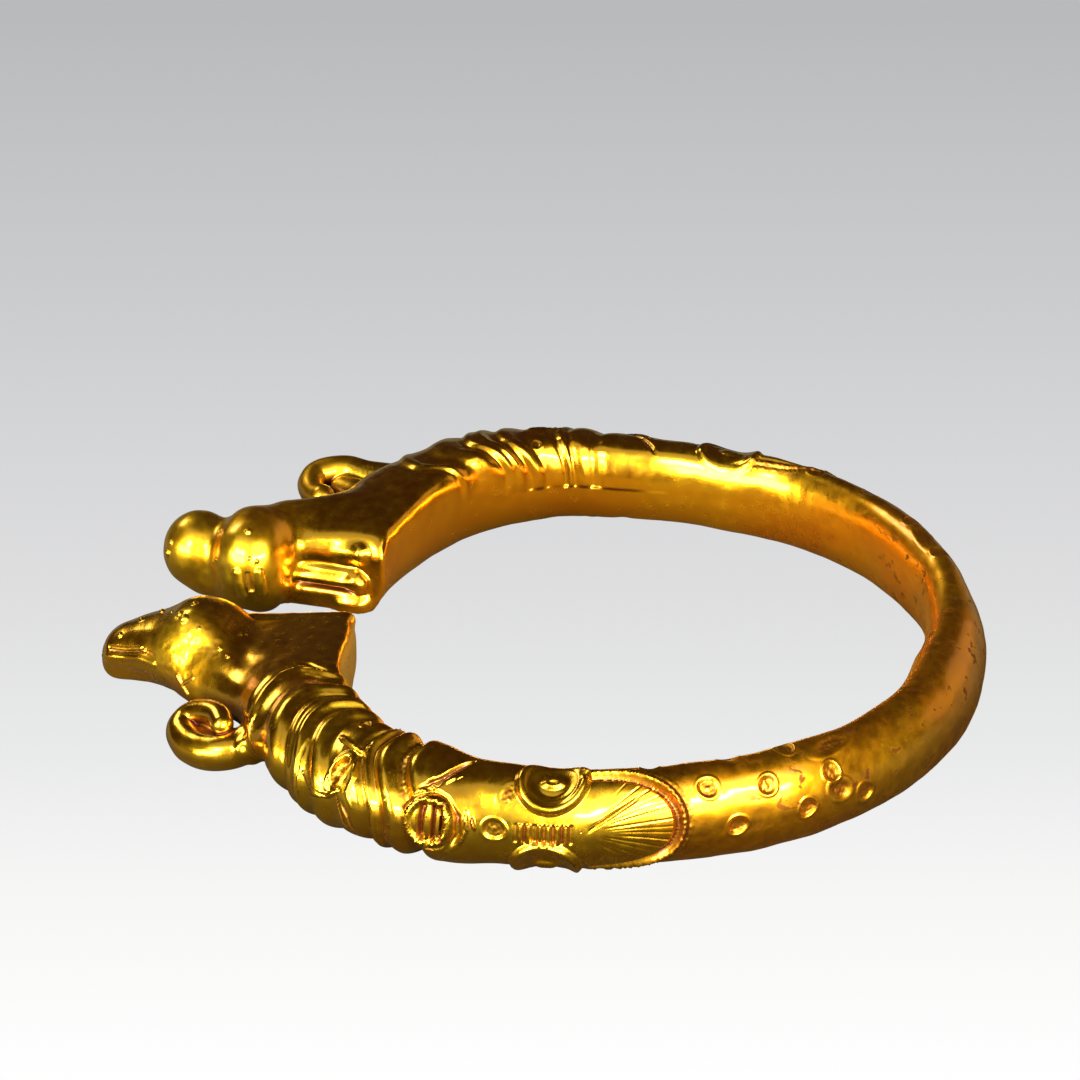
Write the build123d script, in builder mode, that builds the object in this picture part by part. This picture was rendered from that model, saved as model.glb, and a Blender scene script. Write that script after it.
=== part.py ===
"""Open gold bracelet with two horned animal heads, in millimetres.

It lies on its side on the plane z = 0. The origin is the middle of the wrist opening on that plane, the gap
between the heads faces -Y, and the heads look away from the wrist. Angles round the hoop count from the gap
to 180 at the back. The right side is at +X and has positive angles, the left side negative ones.
"""

from build123d import *
import os
from math import cos, degrees, radians, sin

# Hoop
wrist_radius = 30.5  # inner wall on the plain stretch
band_width = 5.3  # from the inner wall to the outermost point, on the plain stretch
band_height = 9.2
strip_width = 0.4  # level strip between the rounded inner corners and the rounded outer side
bed_depth = 0.12  # how far the underside is worn flat
end_angle = 7.0  # where the hoop's first section stands
gap_width = 14.0  # between the two end faces

# Neck rings
ring_width = 2.0
ring_rise = 0.6
sink = 0.3  # how far rings and relief start below the surface

# Relief on the outer side
relief_rise = 0.45
roundel_radius = 3.3
roundel_rim = 0.8
roundel_boss = 1.0
bar_width = 0.5
bar_length = 2.6
fan_length = 7.2
fan_height = 5.8
fan_rim = 0.9
oval_rim = 0.7
punch_radius = 0.85
punch_depth = 0.28
tool_depth = 3.2  # reach of the motifs into the hoop, short of its inner corner

# Heads
head_reach = 48.4  # from the middle of the hoop to the tip of the muzzle
head_offset = 10.6  # from the middle plane to the middle of the right head
left_head_offset = 7.4
head_width = 10.0
head_height = 9.5
moulding_radius = 0.9  # round bars along the end faces
moulding_length = 8.5

# Horns
horn_offset = 24.0  # from the middle plane to the middle of the right curl
left_horn_offset = 24.8
horn_reach = 33.0  # from the middle of the hoop to the middle of the right curl
left_horn_reach = 35.0
horn_height = 2.7
curl_radius = 2.8  # at the middle of the horn
horn_radius = 2.0

# Hoop sections: angle, share of band_width by which the inner wall stands further in, the same for the outer
# side further out on the right and on the left, the shares of band_height on the right and on the left, and
# the shares of it that round the upper and the lower inner corner
HOOP = [
    (end_angle, 0.85, 0.00, 0.00, 0.83, 0.83, 0.08, 0.24),
    (16.0, 0.78, 0.16, 0.16, 0.88, 0.88, 0.08, 0.28),
    (26.0, 0.62, 0.42, 0.42, 0.96, 0.94, 0.08, 0.32),
    (38.0, 0.36, 0.70, 0.68, 1.02, 0.98, 0.10, 0.34),
    (50.0, 0.00, 0.88, 0.82, 1.05, 1.00, 0.12, 0.34),
    (62.0, -0.24, 0.92, 0.76, 1.05, 0.97, 0.12, 0.32),
    (75.0, -0.20, 0.78, 0.50, 1.03, 0.93, 0.12, 0.30),
    (90.0, -0.12, 0.38, 0.16, 1.01, 0.93, 0.12, 0.28),
    (110.0, 0.00, -0.03, -0.06, 0.99, 0.98, 0.12, 0.28),
    (145.0, 0.04, -0.04, -0.04, 0.98, 0.98, 0.14, 0.28),
    (180.0, 0.12, 0.04, 0.04, 0.97, 0.97, 0.18, 0.28),
]
INSET, SWELL, HEIGHT, CORNER, FOOT = 1, 2, 4, 6, 7  # the right-hand columns

# Neck rings: angle at the inner wall, lean of the outer side away from the gap in degrees, share of ring_width,
# and share of ring_rise
RINGS = [
    (37.5, 14.0, 0.80, 0.80),
    (43.5, 12.0, 0.90, 1.00),
    (50.0, 14.0, 0.90, 1.00),
    (56.5, 12.0, 0.90, 0.90),
    (65.5, 17.0, 1.00, 1.00),
    (70.5, 15.0, 0.90, 0.90),
]

# Ovals in relief: angle, lift above the middle of the outer side, width, length, and turn in degrees
OVALS = [
    (77.9, 12.0, 3.8, 5.2, 0.0),
    (63.5, 38.0, 2.3, 3.6, -20.0),
]
ROUNDELS = [
    (94.5, 64.0),
    (94.0, -50.0),
]
FAN_PLACE = (103.5, 6.0)
BARS = 6
BAR_PLACE = (93.8, 8.0)
BAR_PITCH = 1.25  # degrees round the hoop
SKIN_ANGLES = [58.0, 75.0, 90.0, 110.0, 125.0]  # stretch that carries the relief

# Punched dimples: angle, and lift above the middle of the outer side
PUNCHES = [
    (87.0, 12.0),
    (118.8, 54.0),
    (123.0, 0.0),
    (128.3, 42.0),
    (134.4, 1.0),
    (139.4, 37.0),
    (140.2, 5.0),
    (145.2, -3.0),
]

# Head sections: share of head_reach, shift of the middle away from the middle plane as a share of head_width,
# lower and upper edge as shares of head_height, and share of head_width
RIGHT_HEAD = [
    (0.600, 0.10, 0.10, 0.68, 0.72),
    (0.650, 0.08, 0.10, 0.70, 0.76),
    (0.700, 0.06, 0.08, 0.76, 0.88),
    (0.750, 0.04, 0.03, 0.94, 1.08),
    (0.800, 0.05, 0.01, 1.01, 1.20),
    (0.850, 0.04, 0.04, 0.91, 1.02),
    (0.900, 0.04, 0.04, 0.75, 0.78),
    (0.950, 0.06, 0.03, 0.65, 0.72),
    (0.980, 0.06, 0.06, 0.55, 0.62),
    (1.000, 0.06, 0.13, 0.44, 0.44),
    (1.008, 0.06, 0.20, 0.36, 0.24),
]
LEFT_HEAD = [
    (0.600, 0.38, 0.10, 0.68, 0.72),
    (0.650, 0.32, 0.10, 0.70, 0.76),
    (0.700, 0.20, 0.08, 0.78, 0.88),
    (0.750, 0.06, 0.02, 0.96, 1.12),
    (0.800, 0.00, 0.01, 1.01, 1.22),
    (0.850, 0.02, 0.02, 0.94, 1.08),
    (0.900, 0.05, 0.03, 0.83, 0.88),
    (0.950, 0.08, 0.02, 0.82, 0.84),
    (0.980, 0.08, 0.05, 0.74, 0.72),
    (1.000, 0.08, 0.13, 0.62, 0.50),
    (1.009, 0.08, 0.23, 0.52, 0.28),
]
MOULDINGS = [0.74, 0.34]  # heights of the bars on the end faces, as shares of band_height

# Horn stations before and after the half turn: outwards from the wrist and away from the middle plane, from
# the middle of the curl, and height above horn_height, as shares of curl_radius, the share of horn_radius, and
# the heading in degrees, from outwards towards away from the middle plane
HORN_ROOT = [
    (-2.40, 0.10, 0.10, 0.90, 30.0),
    (-1.60, 0.55, 0.08, 0.95, 25.0),
    (-0.80, 0.88, 0.04, 1.00, 12.0),
]
HORN_TURN = [
    (0.0, 0.00, 1.00),
    (45.0, 0.02, 1.00),
    (90.0, 0.10, 0.92),
    (135.0, 0.22, 0.76),
    (180.0, 0.34, 0.62),
]
HORN_TIP = [
    (-0.55, -0.80, 0.36, 0.52, -205.0),
    (-0.85, -0.55, 0.30, 0.38, -225.0),
]


def hoop_row(angle):
    """The shares of HOOP at an angle, straight between its rows, as inset, swell, height, corner and foot."""
    left = 1 if angle < 0 else 0
    columns = (INSET, SWELL + left, HEIGHT + left, CORNER, FOOT)
    for near, far in zip(HOOP, HOOP[1:]):
        if abs(angle) <= far[0]:
            break
    share = (abs(angle) - near[0]) / (far[0] - near[0])
    return [near[column] + share * (far[column] - near[column]) for column in columns]


def hoop_sizes(angle, grow=0.0):
    """Radii of the inner wall and the outer side, underside and top, and the upper and lower inner corner."""
    inset, swell, height, corner, foot = hoop_row(angle)
    inner = wrist_radius - inset * band_width
    outer = wrist_radius + band_width * (1 + swell) + grow
    low = -bed_depth - 0.5 * grow
    return inner, outer, low, band_height * height + grow, band_height * corner, band_height * foot


def upright_plane(angle, lean=0.0):
    """Upright plane across the hoop, with its origin on the inner wall: x outwards, y up."""
    inner = hoop_sizes(angle)[0]
    turn, heading = radians(angle), radians(angle + (lean if angle > 0 else -lean))
    return Plane(
        origin=(inner * sin(turn), -inner * cos(turn), 0),
        x_dir=(sin(heading), -cos(heading), 0),
        z_dir=(-cos(heading), -sin(heading), 0),
    )


def hoop_outline(angle, grow=0.0, inside=0.0, lean=0.0):
    """Outline across the hoop: upright inner wall, and two quarter ellipses on the outer side."""
    inner, outer, low, high, corner, foot = hoop_sizes(angle, grow)
    outer -= inner
    middle = (high + low) / 2
    crown = inside + corner + strip_width
    bed = inside + foot + strip_width
    with BuildSketch(upright_plane(angle, lean)) as outline:
        with BuildLine():
            Line((inside, low + foot), (inside, high - corner))
            CenterArc((inside + corner, high - corner), corner, 90, 90)
            Line((inside + corner, high), (crown, high))
            EllipticalCenterArc((crown, middle), outer - crown, high - middle, 0, arc_size=90)
            EllipticalCenterArc((bed, middle), outer - bed, middle - low, -90, arc_size=90)
            Line((bed, low), (inside + foot, low))
            CenterArc((inside + foot, low + foot), foot, 180, 90)
        make_face()
    return outline.sketch


def outer_place(angle, lift):
    """Plane on the rounded outer side: x along the hoop away from the gap, z straight out."""
    inner, outer, low, high, corner, foot = hoop_sizes(angle)
    centre = inner + strip_width + (corner if lift > 0 else foot)
    reach, rise = outer - centre, (high - low) / 2
    turn, slope = radians(angle), radians(lift)
    radius = centre + reach * cos(slope)
    out, up = cos(slope) / reach, sin(slope) / rise
    side = 1 if angle > 0 else -1
    return Plane(
        origin=(radius * sin(turn), -radius * cos(turn), (high + low) / 2 + rise * sin(slope)),
        x_dir=(side * cos(turn), side * sin(turn), 0),
        z_dir=(out * sin(turn), -out * cos(turn), up),
    )


# Hoop: one loft from end face to end face
with BuildPart() as hoop:
    angles = [row[0] for row in HOOP]
    for angle in angles + [-angle for angle in reversed(angles[:-1])]:
        add(hoop_outline(angle))
    loft()
    with Locations((0, -wrist_radius, 0)):
        Box(gap_width, 6 * band_width, 4 * band_height, mode=Mode.SUBTRACT)

# Neck rings: each a rounded swelling that fades out before the inner wall
with BuildPart() as rings:
    for side in (1, -1):
        for angle, lean, width, rise in RINGS:
            half = degrees(0.5 * ring_width * width / (wrist_radius + band_width))
            for shift, grow in ((-half, -sink), (0, ring_rise * rise), (half, -sink)):
                add(hoop_outline(side * (angle + shift), grow, sink, lean))
            loft()

# Relief: the motifs stand up to one level above the outer side
with BuildPart() as skin:
    for side in (1, -1):
        for angle in SKIN_ANGLES:
            add(hoop_outline(side * angle, relief_rise, sink))
        loft()

with BuildPart() as motifs:
    for side in (1, -1):
        for angle, lift in ROUNDELS:
            with BuildSketch(outer_place(side * angle, lift)):
                Circle(roundel_radius)
                Circle(roundel_radius - roundel_rim, mode=Mode.SUBTRACT)
                Circle(roundel_boss)
            extrude(amount=tool_depth, both=True)
        for index in range(BARS):
            angle = BAR_PLACE[0] + (index - (BARS - 1) / 2) * BAR_PITCH
            with BuildSketch(outer_place(side * angle, BAR_PLACE[1])):
                SlotOverall(bar_length, bar_width, rotation=90)
            extrude(amount=tool_depth, both=True)
        for angle, lift, width, length, turn in OVALS:
            with BuildSketch(outer_place(side * angle, lift)):
                Ellipse(width / 2, length / 2, rotation=side * turn)
                hollow = (width / 2 - oval_rim, length / 2 - oval_rim)
                Ellipse(*hollow, rotation=side * turn, mode=Mode.SUBTRACT)
            extrude(amount=tool_depth, both=True)
        with BuildSketch(outer_place(side * FAN_PLACE[0], FAN_PLACE[1])):
            Ellipse(fan_length, fan_height)
            Ellipse(fan_length - fan_rim, fan_height - fan_rim, mode=Mode.SUBTRACT)
            with Locations((fan_length / 2, 0)):
                Rectangle(fan_length, 2 * fan_height, mode=Mode.INTERSECT)
        extrude(amount=tool_depth, both=True)

# Punched dimples: ring grooves with a raised middle
with BuildPart() as punches:
    for side in (1, -1):
        with Locations(*[outer_place(side * angle, lift).location for angle, lift in PUNCHES]):
            Torus(punch_radius, punch_depth)

# Heads
with BuildPart() as heads:
    for side, offset, rows in ((1, head_offset, RIGHT_HEAD), (-1, left_head_offset, LEFT_HEAD)):
        for reach, shift, low, high, width in rows:
            middle = side * (offset + shift * head_width)
            place = (middle, -head_reach * reach, head_height * (high + low) / 2)
            with BuildSketch(Plane(origin=place, x_dir=(1, 0, 0), z_dir=(0, -1, 0))):
                Ellipse(head_width * width / 2, head_height * (high - low) / 2)
        loft()

# Mouldings: round bars along the end faces
with BuildPart() as mouldings:
    end_radius = wrist_radius - HOOP[0][INSET] * band_width
    for height in MOULDINGS:
        start = (gap_width / 2, -end_radius, band_height * height)
        with BuildSketch(Plane(origin=start, x_dir=(1, 0, 0), z_dir=(0, -1, 0))):
            Circle(moulding_radius)
        extrude(amount=moulding_length)
    mirror(about=Plane.YZ)


def horn_section(side, along, out, rise, share, heading):
    """Circle of a horn at a station, square to its heading in plan."""
    offset, reach = (horn_offset, horn_reach) if side > 0 else (left_horn_offset, left_horn_reach)
    turn = radians(heading)
    away, forward = offset + out * curl_radius, reach + along * curl_radius
    place = (side * away, -forward, horn_height + rise * curl_radius)
    with BuildSketch(Plane(origin=place, x_dir=(0, 0, 1), z_dir=(side * sin(turn), -cos(turn), 0))) as ring:
        Circle(horn_radius * share)
    return ring.sketch


# Horns: root, half turn and tip, lofted through circles
with BuildPart() as horns:
    for side in (1, -1):
        for along, out, rise, share, heading in HORN_ROOT:
            add(horn_section(side, along, out, rise, share, heading))
        for turn, rise, share in HORN_TURN:
            add(horn_section(side, sin(radians(turn)), cos(radians(turn)), rise, share, -turn))
        for along, out, rise, share, heading in HORN_TIP:
            add(horn_section(side, along, out, rise, share, heading))
        loft()

# Relief on the outer side
with BuildPart() as relief:
    add(motifs.part)
    add(skin.part, mode=Mode.INTERSECT)

# The whole bracelet is one casting, worn flat underneath
with BuildPart() as bracelet:
    add([hoop.part, heads.part, mouldings.part, horns.part, rings.part, relief.part])
    add(punches.part, mode=Mode.SUBTRACT)
    split(bisect_by=Plane.XY, keep=Keep.TOP)

bracelet.part.label = "bracelet"
print(bracelet.part.is_valid, len(bracelet.part.solids()), round(bracelet.part.volume, 1))
os.makedirs("parts", exist_ok=True)
export_step(bracelet.part, "parts/bracelet.step")
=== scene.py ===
"""Open gold bracelet with two horned animal heads: its looks.

Lengths are in millimetres until a mesh is written. Angles go round the hoop from the gap at -Y to 180 at the
back, positive on the right side (+X). The metal is one implicit surface: hoop, necks, heads and horns flow
into each other, and the relief is worked into it. The ends are polygonised on a fine lattice, the hoop on a
grid.
"""
import math

import bpy
import numpy as np
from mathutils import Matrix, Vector


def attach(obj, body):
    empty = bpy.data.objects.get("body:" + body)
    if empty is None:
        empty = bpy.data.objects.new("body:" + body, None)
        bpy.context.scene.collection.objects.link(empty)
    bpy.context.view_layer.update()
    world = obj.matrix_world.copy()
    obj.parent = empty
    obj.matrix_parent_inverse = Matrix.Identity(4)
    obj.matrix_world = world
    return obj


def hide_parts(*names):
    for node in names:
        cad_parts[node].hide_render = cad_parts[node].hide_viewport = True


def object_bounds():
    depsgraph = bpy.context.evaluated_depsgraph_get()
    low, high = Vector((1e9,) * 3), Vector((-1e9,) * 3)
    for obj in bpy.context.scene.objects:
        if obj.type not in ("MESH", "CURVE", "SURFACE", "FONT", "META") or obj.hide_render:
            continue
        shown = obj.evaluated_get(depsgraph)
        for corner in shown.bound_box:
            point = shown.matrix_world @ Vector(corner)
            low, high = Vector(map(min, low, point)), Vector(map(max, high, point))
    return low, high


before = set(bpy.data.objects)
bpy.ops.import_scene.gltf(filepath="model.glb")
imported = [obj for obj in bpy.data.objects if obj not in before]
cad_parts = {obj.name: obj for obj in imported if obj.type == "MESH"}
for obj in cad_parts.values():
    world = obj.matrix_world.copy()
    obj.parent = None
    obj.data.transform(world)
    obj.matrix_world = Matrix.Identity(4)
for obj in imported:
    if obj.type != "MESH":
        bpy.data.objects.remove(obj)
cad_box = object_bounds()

MM = 0.001
RAD = math.pi / 180
BEYOND = 99.0  # a distance past every reach
MIRROR = np.array([-1, 1, 1])

# Camera
AZIMUTH, ELEVATION = 105.0, 30.5
DISTANCE = 0.68
TARGET = (0.0, 0.0, 0.0046)
SENSOR = 36.0
FRAME = 1080
FOCAL = 7000.0  # in pixels of the frame
TARGET_PIXEL = (620.0, 641.0)

# Hoop: angle, inner wall right and left, outer side right and left, top right and left
PROFILE = np.array([
    (7.0, 26.35, 26.9, 35.4, 35.8, 7.75, 7.6),
    (12.0, 26.05, 27.0, 35.7, 36.2, 7.9, 7.8),
    (18.0, 25.6, 27.3, 36.1, 36.8, 8.2, 8.15),
    (25.0, 26.2, 27.8, 36.7, 37.9, 8.7, 8.6),
    (32.0, 27.4, 28.6, 37.6, 38.8, 9.0, 8.95),
    (38.0, 28.4, 29.4, 39.0, 39.4, 9.2, 9.2),
    (50.0, 30.1, 31.1, 40.2, 40.3, 9.7, 9.3),
    (62.0, 31.3, 31.6, 40.5, 39.9, 9.8, 8.95),
    (75.0, 31.1, 30.8, 39.55, 38.4, 9.75, 8.45),
    (90.0, 30.8, 30.2, 37.7, 36.5, 9.6, 8.35),
    (110.0, 29.75, 30.1, 35.7, 35.6, 9.55, 8.85),
    (130.0, 29.6, 30.25, 35.65, 35.5, 9.5, 8.9),
    (150.0, 29.7, 30.1, 35.8, 35.1, 9.25, 8.85),
    (180.0, 29.0, 29.0, 35.85, 35.85, 8.95, 8.95),
])
# Angle, width of the inner part of the section up to its crest, squareness of the outer part above and below,
# and of the inner part above, right and left
CREST = np.array([
    (7.0, 3.4, 2.7, 2.4, 4.2, 4.2),
    (26.0, 2.8, 2.5, 2.0, 4.0, 4.0),
    (40.0, 2.5, 2.3, 1.65, 3.6, 3.0),
    (47.0, 2.3, 2.2, 1.9, 3.4, 2.6),
    (55.0, 2.2, 2.1, 2.3, 3.0, 2.3),
    (65.0, 2.3, 2.05, 2.5, 2.7, 2.1),
    (90.0, 2.4, 1.95, 2.3, 2.6, 2.1),
    (118.0, 2.4, 1.88, 2.3, 2.4, 2.1),
    (180.0, 2.6, 1.95, 2.3, 2.1, 2.1),
])
FOOT_EXPONENT = 2.6  # squareness of the inner part below
HALF_GAP = 7.0
SEAM = 57.0  # where the lattice gives way to the grid
BACK_SEAM = 118.0  # where the ornament gives way to the plain back
# The hoop was beaten by hand, so its walls wander a little: size, waves round the hoop, phase
INNER_WANDER = [(0.1, 9, 0.6), (0.06, 17, 2.0)]
OUTER_WANDER = [(0.07, 11, 1.1), (0.05, 19, 0.3)]
TOP_WANDER = [(0.07, 8, 2.4), (0.05, 21, 1.0)]


def hermite(x, y, q):
    """Smooth curve through the points (x, y), read at q."""
    slope = np.gradient(y, x)
    i = np.clip(np.searchsorted(x, q) - 1, 0, len(x) - 2)
    h = x[i + 1] - x[i]
    t = np.clip((q - x[i]) / h, 0, 1)
    return ((2 * t**3 - 3 * t**2 + 1) * y[i] + (t**3 - 2 * t**2 + t) * h * slope[i]
            + (3 * t**2 - 2 * t**3) * y[i + 1] + (t**3 - t**2) * h * slope[i + 1])


AXIS = np.arange(-180.0, 180.01, 0.25)
away = np.abs(AXIS)
on_right = AXIS > 0


def profile(right_column, wander):
    """A column pair of the profile at every angle of the axis, with its wander."""
    right, left = (hermite(PROFILE[:, 0], PROFILE[:, right_column + i], away) for i in (0, 1))
    values = np.where(on_right, right, left)
    for size, turns, phase in wander:
        values = values + size * np.sin(AXIS * RAD * turns + phase)
    return values


inner_at = profile(1, INNER_WANDER)
outer_at = profile(3, OUTER_WANDER)
top_at = profile(5, TOP_WANDER)
crest_at, above_at, below_at, right_within, left_within = (
    hermite(CREST[:, 0], CREST[:, i], away) for i in range(1, 6))
within_at = np.where(on_right, right_within, left_within)


def section(angle):
    """Crest radius, inner and outer reach from it, and half height at angles."""
    inner = np.interp(angle, AXIS, inner_at)
    outer = np.interp(angle, AXIS, outer_at)
    half = np.interp(angle, AXIS, top_at) / 2
    crest = np.interp(angle, AXIS, crest_at)
    return inner + crest, crest, outer - inner - crest, half


# Arc length along the section from the middle of its outer side, by angle and lift
ROWS = np.arange(-180.0, 181.0, 2.0)
LIFTS = np.arange(-180.0, 180.5, 1.0)


def exponent(angle, out, up):
    """Squareness of the section by quadrant; out and up run from -1 to 1 round it."""
    above, below, within = (np.interp(angle, AXIS, values) for values in (above_at, below_at, within_at))
    ease = np.clip(-up * 4, 0, 1)
    outer = above + (below - above) * ease
    inner = within + (FOOT_EXPONENT - within) * ease
    return np.where(out > 0, outer, inner)


def outline_points(angle, lift):
    """Distance from the crest radius and height above the middle, on the plain outline."""
    _, inside, outside, half = section(angle)
    c, s = np.cos(lift * RAD), np.sin(lift * RAD)
    reach = np.where(c > 0, outside, inside)
    n = exponent(angle, c, s)
    k = (np.abs(c) ** n + np.abs(s) ** n) ** (-1 / n)
    return reach * k * c, half * k * s


def arc_table():
    grid_angle, grid_lift = np.meshgrid(ROWS, LIFTS, indexing="ij")
    q, w = outline_points(grid_angle, grid_lift)
    step = np.hypot(np.diff(q, axis=1), np.diff(w, axis=1))
    arc = np.concatenate([np.zeros((len(ROWS), 1)), np.cumsum(step, axis=1)], axis=1)
    return arc - arc[:, [len(LIFTS) // 2]]


ARC = arc_table()


def arc_at(angle, lift):
    i = np.clip((angle - ROWS[0]) / (ROWS[1] - ROWS[0]), 0, len(ROWS) - 1.001)
    j = np.clip((lift - LIFTS[0]) / (LIFTS[1] - LIFTS[0]), 0, len(LIFTS) - 1.001)
    i0, j0 = i.astype(int), j.astype(int)
    u, v = i - i0, j - j0
    return ((1 - u) * (1 - v) * ARC[i0, j0] + u * (1 - v) * ARC[i0 + 1, j0]
            + (1 - u) * v * ARC[i0, j0 + 1] + u * v * ARC[i0 + 1, j0 + 1])


def step_up(low, high, x):
    """Smooth rise from 0 at low to 1 at high."""
    t = np.clip((x - low) / (high - low), 0, 1)
    return t * t * (3 - 2 * t)


def bump(d, w):
    """Rounded ridge of half width w across d."""
    return np.clip(1 - (d / w) ** 2, 0, 1) ** 2


def ridge(d, shape):
    """Rounded ridge across d, of a place, half width and height."""
    middle, half, height = shape
    return height * bump(d - middle, half)


def length(v):
    return np.sqrt(np.einsum("ij,ij->i", v, v))


def waves(p, size, seed, count=14):
    """Smooth wandering values of about -1 to 1, of a size in millimetres."""
    rng = np.random.default_rng(seed)
    total = np.zeros(len(p))
    for _ in range(count):
        d = rng.normal(size=3)
        d *= rng.uniform(0.7, 1.5) * 2 * math.pi / size / np.linalg.norm(d)
        total += np.sin(p @ d + rng.uniform(0, 2 * math.pi))
    return total / math.sqrt(count)


class Field:
    """Where points lie on the hoop: mirrored angle, radius, lift and arc length on the section."""

    def __init__(self, p):
        self.p = p
        angle = np.arctan2(p[:, 0], -p[:, 1]) / RAD
        self.side = np.where(angle >= 0, 1, -1)
        self.r = np.hypot(p[:, 0], p[:, 1])
        crest, inside, outside, half = section(angle)
        q, w = self.r - crest, p[:, 2] - half
        reach = np.where(q > 0, outside, inside)
        n = exponent(angle, q, w / half)
        g = ((np.abs(q) / reach) ** n + (np.abs(w) / half) ** n) ** (1 / n)
        self.plain = np.hypot(q, w) * (1 - 1 / np.maximum(g, 0.05))
        lift = np.arctan2(w / half, q / reach) / RAD
        self.angle = np.abs(angle)
        self.s = arc_at(angle, lift)


def place(angle, r, z):
    """Arc length on the section at a measured spot of the right side."""
    crest, inside, outside, half = section(np.array([angle]))
    q, w = r - crest, z - half
    lift = np.arctan2(w / half, q / np.where(q > 0, outside, inside)) / RAD
    return float(arc_at(np.array([angle]), lift)[0])


# Relief of the ornament, all from measured spots (angle, radius, height)
# The neck swells in slanting segments: angle on the outer side, height
NECK = np.array([
    (34.0, 0.0), (39.5, 0.0), (41.2, -0.12), (42.8, 0.32), (44.4, -0.06), (46.6, -0.18),
    (48.8, 0.26), (50.6, 0.4), (52.2, 0.02), (53.2, -0.24), (54.6, 0.36), (55.6, 0.28),
    (56.8, 0.42), (58.2, -0.12), (58.9, -0.18), (60.2, 0.36), (61.4, 0.3), (62.8, -0.06),
    (65.5, 0.1), (67.6, -0.04), (68.8, -0.42), (69.9, 0.38), (71.0, -0.16), (72.0, 0.26),
    (73.3, 0.42), (74.2, 0.08), (75.0, -0.36), (76.0, -0.32), (77.2, 0.24), (79.5, 0.36),
    (83.0, 0.16), (85.0, 0.0), (90.0, 0.0),
])
NECK_LEAN = 5.0  # how far a segment leans back from the outer side to the crest, in degrees
# Angle, and how far a segment turns forward again at the edge
NECK_RETURN = np.array([(38.0, 9.0), (48.0, 6.0), (60.0, 4.5), (66.0, 1.0), (70.0, 0.0)])
LEAN_RUN, RETURN_RUN = (0.0, 7.5), (8.0, 13.0)  # arc lengths over which it leans and turns
NECK_BELOW, NECK_ABOVE = (-10.5, -6.0), (15.5, 11.5)  # arc lengths over which the swellings fade
NECK_START = (33.5, 37.0)  # angles over which they begin
ROUGH_BAND = (75.4, 1.3)  # rough ground between two swellings: segment, half width
BAND_BELOW, BAND_ABOVE = (-6.0, -3.0), (11.0, 8.0)
BAND_ROUGHNESS = 0.9
FAR_EASE = 0.6  # the far branch is worn lower
FAR_NECK = 62  # angle up to which the far neck keeps its height
GROOVES = [  # half width, depth, line
    (0.22, 0.16, [(55.0, 38.6, 8.6), (56.6, 40.0, 6.4), (57.0, 40.2, 3.6)]),
    (0.42, 0.5, [(76.0, 38.2, 8.6), (78.4, 36.4, 9.1), (81.0, 33.6, 9.4)]),
    (0.6, 0.5, [(76.8, 38.0, 8.6), (79.8, 38.3, 7.8), (81.8, 38.4, 6.4), (82.0, 38.6, 4.8),
                (80.6, 38.8, 3.2)]),
    (0.18, 0.24, [(64.0, 39.7, 5.8), (64.8, 40.2, 4.2), (65.4, 40.0, 2.4)]),
    (0.26, 0.3, [(65.0, 40.0, 5.4), (66.0, 40.2, 4.0), (66.6, 39.8, 2.2)]),
    (0.16, 0.16, [(42.6, 38.4, 7.0), (43.6, 38.9, 5.0), (44.0, 38.8, 3.0)]),
    (0.14, 0.14, [(71.6, 39.4, 7.4), (72.6, 40.2, 5.4), (72.9, 40.0, 3.2)]),
]
STRIPS = [  # raised strips: half width, height, line
    (0.5, 0.5, [(59.4, 36.6, 9.3), (62.2, 36.8, 9.3), (65.2, 37.0, 9.2)]),
    (0.34, 0.4, [(57.4, 40.1, 6.3), (59.6, 40.3, 5.4), (62.6, 40.2, 5.4), (64.0, 40.0, 6.2)]),
    (0.3, 0.34, [(61.6, 39.0, 8.6), (62.0, 39.8, 7.6), (62.4, 40.2, 6.6)]),
    (0.3, 0.34, [(64.6, 38.4, 8.8), (65.6, 39.4, 7.8), (65.6, 40.0, 6.6), (66.6, 40.1, 5.2)]),
    (0.24, 0.3, [(83.8, 38.6, 6.8), (84.4, 38.7, 5.4)]),
    (0.22, 0.26, [(75.9, 38.9, 8.0), (78.0, 37.6, 8.5), (80.8, 35.6, 8.9)]),
    (0.3, 0.26, [(83.0, 38.0, 7.0), (83.4, 38.4, 5.4), (82.2, 38.8, 3.4)]),
]
HOLLOWS = [  # angle, radius, height, half length, half width, turn from the hoop's line, depth
    (62.9, 39.6, 7.9, 1.6, 0.66, 86.0, 1.05),
    (60.2, 33.8, 9.6, 0.5, 0.5, 0.0, 0.25),
    (88.4, 36.2, 8.7, 1.0, 0.7, 70.0, 0.06),
    (141.7, 33.0, 8.9, 2.0, 0.8, 10.0, 0.2),
    (140.4, 35.6, 5.6, 1.1, 0.9, -30.0, 0.3),
]
HOLLOW_WALL = (0.45, 1.15)  # shares of the half sizes between which the wall rises
HOLLOW_RIM = (1.35, 0.35, 0.2)  # as all ridges: place, half width, height
LOOP = (77.9, 39.2, 5.7, 2.45, 2.7)  # oval loop: angle, radius, height, half sizes
LOOP_PAD = 0.12  # height of its level ground
LOOP_RIM = (-0.45, 0.62, 0.5)
LOOP_FLOOR = 0.2
LOOP_SLITS = [(-0.66, 0.28), (0.6, 0.18), (1.35, 0.1)]  # place, half width
SLIT_DEPTH, SLIT_BEND = 0.55, 0.05
LOOP_BAR = (-0.02, 0.36, 0.16)  # between the slits
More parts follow.
